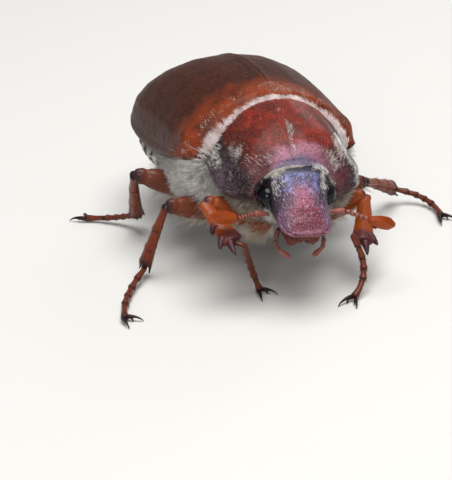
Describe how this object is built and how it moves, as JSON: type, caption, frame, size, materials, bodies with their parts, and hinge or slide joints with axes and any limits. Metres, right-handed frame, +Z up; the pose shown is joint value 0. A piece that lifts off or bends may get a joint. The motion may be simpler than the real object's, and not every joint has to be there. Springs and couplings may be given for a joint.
{
  "type": "cockchafer",
  "caption": "Still, life-size cockchafer beetle standing on its feet, with domed ribbed wing cases, a shield behind the head, fan-tipped feelers and a pointed tail.",
  "frame": {"origin": "on the floor, under the middle of the whole animal's extent from side to side and from front to back", "axes": "-Y towards the head, +X towards the animal's left, +Z up"},
  "size_m": [0.0242, 0.0292, 0.0117],
  "materials": {
    "shell": "satin horn with fine pale down",
    "shield": "glossy dark horn",
    "limbs": "satin horn",
    "fur": "dense short fur",
    "eyes": "high gloss",
    "feet": "satin horn"
  },
  "bodies": {
    "root": {"elytron_left": "shell", "elytron_right": "shell", "pronotum": "shield", "scutellum": "shield", "head": "shield", "pygidium": "shield", "prosternum": "fur", "thorax": "fur", "abdomen": "fur", "eye_left": "eyes", "eye_right": "eyes", "antenna_stalk_left": "limbs", "antenna_stalk_right": "limbs", "antenna_club_left": "limbs", "antenna_club_right": "limbs", "palp_left": "limbs", "palp_right": "limbs", "mouthparts": "limbs", "femur_front_left": "limbs", "femur_front_right": "limbs", "femur_middle_left": "limbs", "femur_middle_right": "limbs", "femur_hind_left": "limbs", "femur_hind_right": "limbs", "tibia_front_left": "limbs", "tibia_front_right": "limbs", "tibia_middle_left": "limbs", "tibia_middle_right": "limbs", "tibia_hind_left": "limbs", "tibia_hind_right": "limbs", "tarsus_front_left": "feet", "tarsus_front_right": "feet", "tarsus_middle_left": "feet", "tarsus_middle_right": "feet", "tarsus_hind_left": "feet", "tarsus_hind_right": "feet"}
  },
  "joints": []
}
